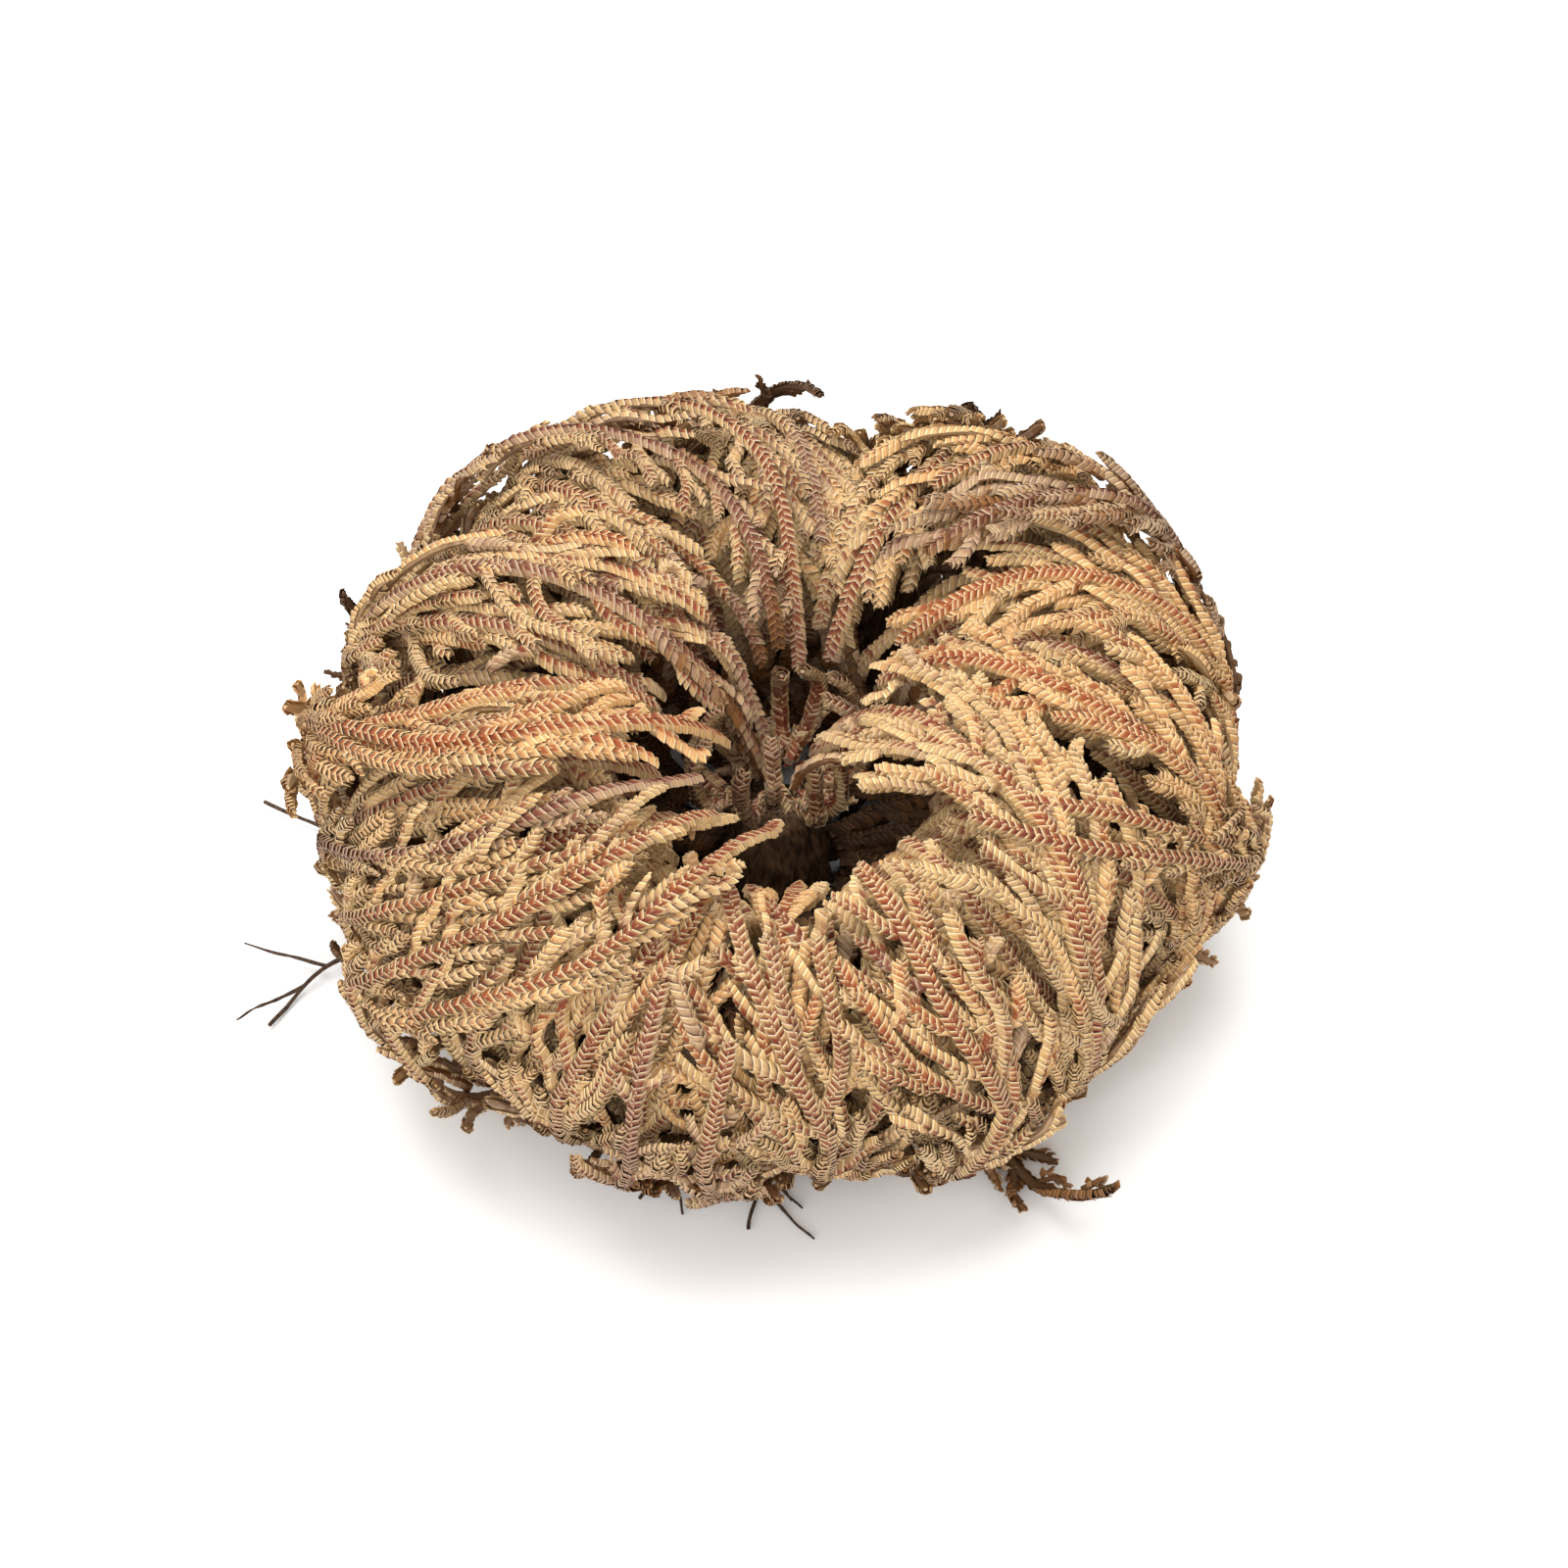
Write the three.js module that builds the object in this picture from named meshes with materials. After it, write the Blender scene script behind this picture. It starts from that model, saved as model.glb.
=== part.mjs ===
// Rose of Jericho: a dried spike-moss rosette, rolled up into a ring with a hollow in its middle.
// Fronds leave a short upright crown, run out along the floor, then curl up, over and back in,
// so that every frond follows one roll: a circle swept round the plant's axis.
// The fronds lie in levels, one inside the next, like the leaves of a cabbage. Old dead fronds are
// the outermost level, and the innermost level rolls on like a watch spring and fills the roll.
// Millimetres and degrees. +Z is up, +X is right, -Y is the front. Azimuth 0 is the front and
// azimuth 90 is the right. Roll angle -90 is the roll's underside, 0 its outside and 90 its top.
import * as THREE from "three";

// ---- Driving dimensions ----
const RING_RADIUS = 27; // from the plant's axis to the middle of the roll
const ROLL_RADIUS = 19.4; // from the middle of the roll to its outermost green-grown level
const LEVEL_STEP = 2.1; // from the middle of one level of fronds to the next
const BLADE_THICKNESS = 0.9; // a dry frond, with its branchlets pressed flat
const SIDE_GAP = 1.2; // between neighbours in one level
const CROWN_RADIUS = 5.6;
const CROWN_HEIGHT = 17.5;
const CROWN_FOOT_RADIUS = 4;
const CROWN_GAP = 0.4; // between the crown and the foot of a frond or root
const FOOT_RISE = 1.3; // how much higher a frond starts on the crown than it runs
const FOOT_HALF_WIDTH = 1.1; // a frond's bare foot
const TIP_SHARE = 0.3; // a frond's half width at its tip, as a share of its widest
const NOTCH_SHARE = 0.74; // the width between two side branches, as a share of that at a branch
const STATION_STEP = 6; // the spacing of a side branch and the notch after it
const PAST_TIP = 24; // the roll angle past a frond's tip where its neighbours may widen again
const ROOT_RADIUS = 0.45;
const ROOT_SIDES = 6;

// The old level lies on the floor, so the roll's height follows from what is outside it.
const ROLL_HEIGHT = ROLL_RADIUS + LEVEL_STEP + BLADE_THICKNESS / 2;
const FOOT_RADIUS = CROWN_RADIUS + CROWN_GAP;
const SHELF = RING_RADIUS - FOOT_RADIUS; // the flat run from the crown to the roll's underside
const UNDERSIDE = -90;
const TURN = 360;

// ---- Colours ----
const dry = (colour) =>
  new THREE.MeshStandardMaterial({ color: colour, roughness: 0.85, metalness: 0 });
const STRAW = dry(0xc49a62);
const DUSTY = dry(0xa88a78);
const RUSSET = dry(0x96604a);
const BARK = dry(0x5b463a);
const ROOT_BROWN = dry(0x43352d);

// ---- The fronds ----
// azimuth is where a frond passes the outside of the roll. drift is how far it leans round the
// plant from there to its tip. tip is the roll angle where it ends. wide is its widest half width.
// curl is what the roll's radius loses in a full turn. splay is how far out of the roll a frond
// has fallen.
const LEVELS = {
  old: {
    level: -1,
    material: BARK,
    fronds: [
      { azimuth: 12, drift: 0, tip: -60, wide: 4 },
      { azimuth: 37, drift: 0, tip: -46, wide: 5, splay: 5 },
      { azimuth: 104, drift: 6, tip: 4, wide: 5 },
      { azimuth: 152, drift: -2, tip: 66, wide: 6 },
      { azimuth: 186, drift: -14, tip: 72, wide: 5 },
      { azimuth: 222, drift: 8, tip: 44, wide: 5 },
      { azimuth: 243, drift: 4, tip: 20, wide: 5 },
      { azimuth: 291, drift: 4, tip: -12, wide: 5 },
      { azimuth: 326, drift: 0, tip: -50, wide: 5 },
    ],
  },
  outer: {
    level: 0,
    material: DUSTY,
    fronds: [
      { azimuth: 27, drift: -17, tip: 84, wide: 9 },
      { azimuth: 80, drift: -32, tip: 78, wide: 9 },
      { azimuth: 115, drift: 13, tip: 120, wide: 6 },
      { azimuth: 156, drift: -6, tip: 64, wide: 9 },
      { azimuth: 196, drift: 4, tip: 46, wide: 9 },
      { azimuth: 236, drift: -68, tip: 158, wide: 11 },
      { azimuth: 266, drift: 56, tip: 126, wide: 8 },
      { azimuth: 308, drift: 40, tip: 97, wide: 11 },
      { azimuth: 348, drift: 2, tip: 40, wide: 8 },
    ],
  },
  second: {
    level: 1,
    material: STRAW,
    fronds: [
      { azimuth: 6, drift: -14, tip: 86, wide: 9 },
      { azimuth: 42, drift: 9, tip: 142, wide: 11 },
      { azimuth: 72, drift: 12, tip: 130, wide: 9 },
      { azimuth: 97, drift: 20, tip: 134, wide: 9 },
      { azimuth: 130, drift: 14, tip: 102, wide: 10 },
      { azimuth: 163, drift: -4, tip: 62, wide: 9 },
      { azimuth: 193, drift: -30, tip: 124, wide: 9 },
      { azimuth: 222, drift: -6, tip: 100, wide: 9 },
      { azimuth: 251, drift: -6, tip: 165, wide: 9 },
      { azimuth: 288, drift: 46, tip: 107, wide: 10 },
      { azimuth: 336, drift: 9, tip: 78, wide: 9 },
    ],
  },
  third: {
    level: 2,
    material: STRAW,
    fronds: [
      { azimuth: 20, drift: -8, tip: 88, wide: 9 },
      { azimuth: 56, drift: -20, tip: 104, wide: 9 },
      { azimuth: 90, drift: 10, tip: 116, wide: 9 },
      { azimuth: 122, drift: 14, tip: 96, wide: 9 },
      { azimuth: 156, drift: 0, tip: 150, wide: 9 },
      { azimuth: 190, drift: -8, tip: 150, wide: 9 },
      { azimuth: 225, drift: -4, tip: 160, wide: 9 },
      { azimuth: 260, drift: 16, tip: 150, wide: 9 },
      { azimuth: 294, drift: 24, tip: 130, wide: 9 },
      { azimuth: 325, drift: 14, tip: 96, wide: 9 },
      { azimuth: 352, drift: 2, tip: 100, wide: 8 },
    ],
  },
  core: {
    level: 3,
    material: RUSSET,
    fronds: Array.from({ length: 7 }, (_, i) => ({
      azimuth: 24 + (i * TURN) / 7,
      drift: 16,
      tip: 450,
      wide: 8,
      curl: 6,
    })),
  },
};

// ---- Shapes ----
const radians = THREE.MathUtils.degToRad;
const levelRadius = (level) => ROLL_RADIUS - level * LEVEL_STEP;

// The roll's radius at a roll angle, for a frond of this level and curl.
function rollRadius(level, curl, angle) {
  return levelRadius(level) - (curl * (angle - UNDERSIDE)) / TURN;
}

// How far round the plant a frond lies at a roll angle.
function azimuthAt(frond, angle) {
  return frond.azimuth + (frond.drift * Math.max(0, angle)) / Math.max(frond.tip, 1);
}

// The signed difference of two azimuths, from -180 to 180.
function turnBetween(a, b) {
  return THREE.MathUtils.euclideanModulo(a - b + TURN / 2, TURN) - TURN / 2;
}

// The room that the neighbours of its own level leave on each side of a frond.
function roomBeside(frond, fronds, angle, radius) {
  const room = fronds
    .filter((other) => other !== frond && other.tip + PAST_TIP >= angle)
    .map((other) => {
      const apart = Math.abs(turnBetween(azimuthAt(other, angle), azimuthAt(frond, angle)));
      return (radius * radians(apart) - SIDE_GAP) / 2;
    });
  return Math.min(frond.wide, ...room);
}

// A frond's outline: a bare foot, widest past the middle, a narrow tip, and a notch at every
// other station.
function outline(share, index) {
  const swell = Math.min(1, share / 0.35);
  const taper = Math.min(1, TIP_SHARE + (1 - TIP_SHARE) * (1 - share) * 3);
  return swell * taper * (index % 2 ? 1 : NOTCH_SHARE);
}

// One frond's stations, from its foot on the crown to its tip.
function rolledStations(frond, level, fronds) {
  const curl = frond.curl ?? 0;
  const shelf = SHELF + (frond.splay ?? 0);
  const shelfSteps = Math.round(shelf / STATION_STEP);
  const meanRadius = rollRadius(level, curl, (frond.tip + UNDERSIDE) / 2);
  const rollSteps = Math.ceil((meanRadius * radians(frond.tip - UNDERSIDE)) / STATION_STEP);
  const steps = shelfSteps + rollSteps;
  return Array.from({ length: steps + 1 }, (_, i) => {
    const onRoll = Math.max(0, i - shelfSteps) / rollSteps;
    const angle = UNDERSIDE + onRoll * (frond.tip - UNDERSIDE);
    const r = rollRadius(level, curl, angle);
    const shelfLeft = Math.max(0, 1 - i / shelfSteps);
    const radius = FOOT_RADIUS + (1 - shelfLeft) * shelf + r * Math.cos(radians(angle));
    const height = ROLL_HEIGHT + r * Math.sin(radians(angle)) + FOOT_RISE * shelfLeft ** 2;
    const room = roomBeside(frond, fronds, angle, radius);
    return {
      azimuth: azimuthAt(frond, angle),
      radius,
      height,
      outward: new THREE.Vector2(Math.cos(radians(angle)), Math.sin(radians(angle))),
      halfWidth: Math.min(Math.max(FOOT_HALF_WIDTH, frond.wide * outline(i / steps, i)), room),
    };
  });
}

// A closed curved plate through the stations: three points across, an outer and an inner skin.
function plate(stations) {
  const across = [-1, 0, 1];
  const points = [];
  for (const s of stations)
    for (const side of [1, -1])
      for (const u of across) {
        const radius = s.radius + (side * s.outward.x * BLADE_THICKNESS) / 2;
        const azimuth = radians(s.azimuth) + (u * s.halfWidth) / s.radius;
        points.push(
          radius * Math.sin(azimuth),
          -radius * Math.cos(azimuth),
          s.height + (side * s.outward.y * BLADE_THICKNESS) / 2,
        );
      }
  // The points of one station in order round its section, seen from the foot of the frond.
  const ring = [0, 1, 2, 5, 4, 3];
  const n = ring.length;
  const faces = [];
  for (let i = 0; i + 1 < stations.length; i++)
    ring.forEach((k, j) => {
      const next = ring[(j + 1) % n];
      faces.push(n * i + k, n * i + next, n * (i + 1) + next);
      faces.push(n * i + k, n * (i + 1) + next, n * (i + 1) + k);
    });
  const cap = (first, [a, b, c, d]) =>
    faces.push(first + a, first + b, first + c, first + a, first + c, first + d);
  const last = n * (stations.length - 1);
  cap(0, [0, 3, 4, 1]);
  cap(0, [1, 4, 5, 2]);
  cap(last, [1, 4, 3, 0]);
  cap(last, [2, 5, 4, 1]);
  return new THREE.BufferGeometry()
    .setAttribute("position", new THREE.Float32BufferAttribute(points, 3))
    .setIndex(faces);
}

// Young fronds stand in the hollow on top of the crown and nod inwards.
const BUDS = 6;
const BUD_HALF_WIDTH = 2.4;
const BUD_LINE = new THREE.SplineCurve([
  new THREE.Vector2(2.6, CROWN_HEIGHT + 0.6),
  new THREE.Vector2(7.4, CROWN_HEIGHT + 2.6),
  new THREE.Vector2(9.4, CROWN_HEIGHT + 8),
  new THREE.Vector2(7, CROWN_HEIGHT + 12.6),
]);
const BUD_STEPS = 6;

function budStations(azimuth) {
  return Array.from({ length: BUD_STEPS + 1 }, (_, i) => {
    const share = i / BUD_STEPS;
    const at = BUD_LINE.getPointAt(share);
    const along = BUD_LINE.getTangentAt(share);
    const room = at.x * Math.sin(Math.PI / BUDS) - SIDE_GAP / 2;
    return {
      azimuth,
      radius: at.x,
      height: at.y,
      outward: new THREE.Vector2(along.y, -along.x),
      halfWidth: Math.min(BUD_HALF_WIDTH * (i % 2 ? 1 : NOTCH_SHARE), room),
    };
  });
}

// The crown: a short woody stem with a flat foot.
function crownGeometry() {
  const profile = [
    [0, 0],
    [CROWN_FOOT_RADIUS, 0],
    [CROWN_RADIUS * 0.94, CROWN_HEIGHT * 0.12],
    [CROWN_RADIUS, CROWN_HEIGHT * 0.36],
    [CROWN_RADIUS * 0.92, CROWN_HEIGHT * 0.7],
    [CROWN_RADIUS * 0.62, CROWN_HEIGHT * 0.92],
    [0, CROWN_HEIGHT],
  ];
  const geometry = new THREE.LatheGeometry(
    profile.map(([x, y]) => new THREE.Vector2(x, y)),
    16,
  );
  return geometry.rotateX(Math.PI / 2);
}

// Wiry roots come out low on the crown, between the old fronds, and lie on the floor.
const ROOTS = [
  { azimuth: 355, end: 40, sway: 1 },
  { azimuth: 343, end: 39, sway: -3 },
  { azimuth: 70, end: 42, sway: 8 },
  { azimuth: 271, end: 53, sway: 15 },
  { azimuth: 260, end: 56, sway: -5 },
];
const ROOT_START_HEIGHT = 1.6;

function rootGeometry({ azimuth, end, sway }) {
  const start = FOOT_RADIUS + ROOT_RADIUS;
  const at = (share) => {
    const radius = start + (end - start) * share;
    const a = radians(azimuth + sway * share ** 3);
    const height = ROOT_RADIUS + (ROOT_START_HEIGHT - ROOT_RADIUS) * (1 - share) ** 6;
    return new THREE.Vector3(radius * Math.sin(a), -radius * Math.cos(a), height);
  };
  const line = new THREE.CatmullRomCurve3([0, 0.12, 0.3, 0.55, 0.8, 1].map(at));
  const section = new THREE.Shape(
    Array.from({ length: ROOT_SIDES }, (_, i) => {
      const a = (i * 2 * Math.PI) / ROOT_SIDES;
      return new THREE.Vector2(ROOT_RADIUS * Math.cos(a), ROOT_RADIUS * Math.sin(a));
    }),
  );
  return new THREE.ExtrudeGeometry(section, { steps: 10, extrudePath: line });
}

// ---- The plant ----
const plant = new THREE.Group();

function add(name, geometry, material) {
  const mesh = new THREE.Mesh(geometry, material);
  mesh.name = name;
  plant.add(mesh);
}

const number = (i) => String(i + 1).padStart(2, "0");

add("crown", crownGeometry(), BARK);
for (const [kind, { level, material, fronds }] of Object.entries(LEVELS))
  fronds.forEach((frond, i) => {
    add(`${kind}_frond_${number(i)}`, plate(rolledStations(frond, level, fronds)), material);
  });
for (let i = 0; i < BUDS; i++)
  add(`bud_frond_${number(i)}`, plate(budStations(15 + (i * TURN) / BUDS)), STRAW);
ROOTS.forEach((root, i) => add(`root_${number(i)}`, rootGeometry(root), ROOT_BROWN));

// The frame's origin is the bottom centre of the whole plant.
const box = new THREE.Box3().setFromObject(plant, true);
const centre = box.getCenter(new THREE.Vector3());
plant.position.set(-centre.x, -centre.y, -box.min.z);

export default plant;
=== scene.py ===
"""Rose of Jericho: a dried spike-moss rosette, rolled up into a ring with a hollow in its middle.

Every frond is a spray of scaly cords. A cord is a thin stem inside two rows of overlapping
scale leaves. The cords branch from the frond's main stem, and the whole spray is laid on the
roll: a circle swept round the plant's axis. Places along a frond are worked out in the frond's
own millimetres: along it, across it and out from the roll.
"""

import math

import bpy
import numpy as np
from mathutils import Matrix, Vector


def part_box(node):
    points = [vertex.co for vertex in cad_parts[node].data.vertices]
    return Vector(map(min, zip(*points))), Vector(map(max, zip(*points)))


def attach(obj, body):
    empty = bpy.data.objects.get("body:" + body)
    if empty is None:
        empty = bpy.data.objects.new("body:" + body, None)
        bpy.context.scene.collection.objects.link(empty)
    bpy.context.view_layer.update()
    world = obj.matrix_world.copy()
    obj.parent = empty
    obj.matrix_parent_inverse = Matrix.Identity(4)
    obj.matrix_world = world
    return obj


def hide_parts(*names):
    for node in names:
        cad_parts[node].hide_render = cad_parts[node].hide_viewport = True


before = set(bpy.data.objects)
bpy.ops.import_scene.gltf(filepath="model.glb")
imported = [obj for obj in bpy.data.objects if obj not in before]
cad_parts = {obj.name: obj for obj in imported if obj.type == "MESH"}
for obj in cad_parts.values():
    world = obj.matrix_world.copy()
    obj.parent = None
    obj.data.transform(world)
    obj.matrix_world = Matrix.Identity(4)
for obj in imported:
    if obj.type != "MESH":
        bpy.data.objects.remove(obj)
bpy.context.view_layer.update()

# ---- The plant's measures, in millimetres and degrees, as the frame has them ----
RING_RADIUS = 27.0  # from the plant's axis to the middle of the roll
ROLL_RADIUS = 19.4  # from the middle of the roll to its outer level of fronds
LEVEL_STEP = 2.1  # from one level of fronds to the next
BLADE_THICKNESS = 0.9
CROWN_RADIUS = 5.6
CROWN_HEIGHT = 17.5
CROWN_GAP = 0.4  # between the crown and the foot of a frond or root
FOOT_RADIUS = CROWN_RADIUS + CROWN_GAP
FOOT_RISE = 1.3  # how much higher a frond starts on the crown than it runs
ROLL_HEIGHT = ROLL_RADIUS + LEVEL_STEP + BLADE_THICKNESS / 2
SHELF = RING_RADIUS - FOOT_RADIUS  # the flat run from the crown to the roll's underside
ROOT_RADIUS = 0.45
LOWEST_CORD = 0.95  # the height of a cord's middle where it lies on the floor

# The crown's own box gives the plant's axis and its scale.
crown_low, crown_high = (np.array(corner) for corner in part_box("crown"))
MM = (crown_high[2] - crown_low[2]) / CROWN_HEIGHT
AXIS = np.array([(crown_low[0] + crown_high[0]) / 2, (crown_low[1] + crown_high[1]) / 2, 0.0])

random = np.random.default_rng(7)


# ---- Camera, floor and light ----
CAMERA_LENS = 85
CAMERA_SENSOR = 36
CAMERA_ELEVATION = 48  # degrees
CAMERA_DISTANCE = 366.8  # from its target
CAMERA_TARGET = (0.8, 0, 20)  # from the middle of the plant's foot


def make_camera():
    """A long lens that looks down on the front of the plant."""
    camera = bpy.data.objects.new("camera", bpy.data.cameras.new("camera"))
    bpy.context.scene.collection.objects.link(camera)
    bpy.context.scene.camera = camera
    camera.data.lens = CAMERA_LENS
    camera.data.sensor_width = CAMERA_SENSOR
    elevation = math.radians(CAMERA_ELEVATION)
    target = Vector(AXIS + np.array(CAMERA_TARGET) * MM)
    away = Vector((0, -math.cos(elevation), math.sin(elevation)))
    camera.location = target + away * CAMERA_DISTANCE * MM
    camera.rotation_euler = away.to_track_quat("Z", "Y").to_euler()


make_camera()


def linear(hex_colour):
    """An sRGB hex colour as linear light, with alpha 1."""
    channels = [int(hex_colour[i : i + 2], 16) / 255 for i in (1, 3, 5)]
    return [c / 12.92 if c <= 0.04045 else ((c + 0.055) / 1.055) ** 2.4 for c in channels] + [1.0]


def node(tree, kind, settings=None, *inputs):
    """Adds a node with its settings. inputs are its sockets in order: a value or another socket."""
    made = tree.nodes.new(kind)
    for name, value in (settings or {}).items():
        setattr(made, name, value)
    for socket, value in zip(made.inputs, inputs):
        if isinstance(value, bpy.types.NodeSocket):
            tree.links.new(value, socket)
        elif value is not None:
            socket.default_value = value
    return made


def new_material(name):
    """An empty node material: the material, its tree and its Principled shader."""
    material = bpy.data.materials.new(name)
    material.use_nodes = True
    return material, material.node_tree, material.node_tree.nodes["Principled BSDF"]


FLOOR_REACH = 3.0  # metres from the plant to the floor's sides
WORLD_STRENGTH = 0.85
# Each lamp's name, its place and its size in metres, and its power in watts.
LAMPS = [
    ("key", (-0.07, 0.14, 0.90), 0.7, 8.5),
    ("fill", (-0.26, -0.78, 0.6), 0.8, 6.0),
]


def make_stage():
    """A wide white floor, a soft light from above and a fill from the front left."""
    reach = FLOOR_REACH
    floor_mesh = bpy.data.meshes.new("floor")
    corners = [(-reach, -reach, 0), (reach, -reach, 0), (reach, reach, 0), (-reach, reach, 0)]
    floor_mesh.from_pydata(corners, [], [(0, 1, 2, 3)])
    floor = bpy.data.objects.new("floor", floor_mesh)
    bpy.context.scene.collection.objects.link(floor)
    material, _, shader = new_material("white_paper_sweep")
    shader.inputs["Base Color"].default_value = linear("#F2F4F7")
    shader.inputs["Roughness"].default_value = 0.9
    floor_mesh.materials.append(material)

    world = bpy.data.worlds.new("studio")
    world.use_nodes = True
    background = world.node_tree.nodes["Background"]
    background.inputs["Color"].default_value = linear("#FFFAF2")
    background.inputs["Strength"].default_value = WORLD_STRENGTH
    bpy.context.scene.world = world

    for name, place, size, power in LAMPS:
        lamp = bpy.data.lights.new(name, "AREA")
        lamp.size = size
        lamp.energy = power
        holder = bpy.data.objects.new(name, lamp)
        holder.location = place
        holder.rotation_euler = Vector(place).to_track_quat("Z", "Y").to_euler()
        bpy.context.scene.collection.objects.link(holder)
    bpy.context.scene.view_settings.view_transform = "Standard"


make_stage()

# ---- Colours ----
# The tones of a frond, from young growth to long dead: the red-brown seam along the cord's middle, the leaf's
# body and its papery margin. The seam colour also paints shade at a leaf's root and a shadow line on the cord's
# flank, and the darker tones also paint the shade down in the hollow.
TONES = {
    "golden": ("#843410", "#D8AC64", "#F0E6CC"),
    "straw": ("#6C2212", "#D2B06C", "#EEE5CE"),
    "sandy": ("#6C2816", "#CAA96E", "#E8DCC8"),
    "plum": ("#5E2A20", "#B4946E", "#D8C8B4"),
    "russet": ("#54280F", "#885A2E", "#B48C58"),
    "dead": ("#35210F", "#573A20", "#836444"),
}
TONE = {name: i / (len(TONES) - 1) for i, name in enumerate(TONES)}  # each one's age, 0 to 1

# The leaves' pattern sheet is a UV map. Each cell of it is one leaf, with its own tone across
# the sheet and its own redness up the sheet. Inside a cell, across runs from the cord's middle
# to its back, and along runs from the leaf's root to its margin.
SHEET_TONES = 16
SHEET_REDS = 4
CELL_EDGE = 0.06  # keeps a leaf inside its cell


def dry_leaf_material():
    """Dried spike-moss leaves: dull and papery, a red-brown tooth at the root, painted shade towards the root
    and along a line on the flank, fine fibres, a bleached margin.
    """
    material, tree, shader = new_material("dry_spike_moss_leaf")

    def math_node(operation, *inputs):
        return node(tree, "ShaderNodeMath", {"operation": operation}, *inputs).outputs[0]

    def fade(value, start, end, low=0.0, high=1.0):
        """Smoothly from low at start to high at end."""
        settings = {"interpolation_type": "SMOOTHSTEP"}
        return node(tree, "ShaderNodeMapRange", settings, value, start, end, low, high).outputs[0]

    def tone_ramp(value, part):
        ramp = node(tree, "ShaderNodeValToRGB", None, value)
        stops = ramp.color_ramp.elements
        for i, tone in enumerate(TONES.values()):
            stop = stops[i] if i < 2 else stops.new(1.0)
            stop.position = i / (len(TONES) - 1)
            stop.color = linear(tone[part])
        return ramp.outputs[0]

    def mix(share, a, b):
        mixed = node(tree, "ShaderNodeMix", {"data_type": "RGBA"}, share)
        for value, socket in ((a, mixed.inputs[6]), (b, mixed.inputs[7])):
            if isinstance(value, bpy.types.NodeSocket):
                tree.links.new(value, socket)
            else:
                socket.default_value = value
        return mixed.outputs[2]

    uv = node(tree, "ShaderNodeUVMap", {"uv_map": "leaf_sheet"}).outputs[0]
    sheet = node(tree, "ShaderNodeSeparateXYZ", None, uv).outputs
    column = math_node("MULTIPLY", sheet[0], SHEET_TONES)
    row = math_node("MULTIPLY", sheet[1], SHEET_REDS)
    tone = math_node("DIVIDE", math_node("FLOOR", column), SHEET_TONES - 1)
    redness = math_node("DIVIDE", math_node("FLOOR", row), SHEET_REDS - 1)
    across = fade(math_node("FRACT", column), CELL_EDGE, 1 - CELL_EDGE)
    along = node(
        tree, "ShaderNodeMapRange", None, math_node("FRACT", row), CELL_EDGE, 1 - CELL_EDGE
    ).outputs[0]

    # Fibres run out from the cord's middle: a noise that is stretched across the leaf.
    stretch = node(tree, "ShaderNodeMapping", None, uv)
    stretch.inputs["Scale"].default_value = (SHEET_TONES * 1.5, SHEET_REDS * 26, 1)
    fibres = node(tree, "ShaderNodeTexNoise", None, stretch.outputs[0], None, 1.0, 3.0).outputs[0]

    # The red root of the leaf is a tooth against the cord's middle.
    reach = math_node("ADD", across, math_node("MULTIPLY", along, -0.18))
    edge = math_node("SUBTRACT", reach, math_node("MULTIPLY", redness, 0.3))
    tooth = math_node("MULTIPLY", fade(edge, 0.26, 0.0), fade(redness, -0.15, 0.85))
    tooth = math_node("MULTIPLY", tooth, fade(along, 0.45, 1.0, 1.0, 0.45))
    tooth = math_node("MULTIPLY", tooth, fade(fibres, 0.25, 0.6, 0.7, 1.0))
    # Round the tooth the leaf is a little rusty.
    tooth = math_node("MAXIMUM", tooth, fade(edge, 0.8, 0.2, 0.0, 0.25))
    # Towards the leaf's root the body darkens to the seam colour: painted shade where the margin of the leaf
    # before it overhangs.
    body = mix(fade(along, 0.3, 0.6, 0.5, 0.0), tone_ramp(tone, 1), tone_ramp(tone, 0))
    body = mix(fade(fibres, 0.35, 0.7, 0.0, 0.3), body, tone_ramp(tone, 2))
    colour = mix(tooth, body, tone_ramp(tone, 0))
    # The cord's flank has a second, smaller row of leaves, half a pitch on: its shadow line is painted shade.
    line = math_node("SUBTRACT", fade(along, 0.5, 0.62), fade(along, 0.62, 0.74))
    line = math_node("MULTIPLY", line, fade(across, 0.35, 0.6, 0.0, 0.6))
    colour = mix(line, colour, tone_ramp(tone, 0))
    margin = fade(along, 0.8, 0.97)
    colour = mix(math_node("MULTIPLY", margin, 0.46), colour, tone_ramp(tone, 2))
    tree.links.new(colour, shader.inputs["Base Color"])

    tree.links.new(fade(fibres, 0.3, 0.7, 0.62, 0.82), shader.inputs["Roughness"])
    relief = node(tree, "ShaderNodeBump")
    relief.inputs["Strength"].default_value = 0.35
    relief.inputs["Distance"].default_value = 0.08 * MM
    tree.links.new(math_node("ADD", fibres, margin), relief.inputs["Height"])
    tree.links.new(relief.outputs[0], shader.inputs["Normal"])
    shader.inputs["Specular IOR Level"].default_value = 0.3
    return material


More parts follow.
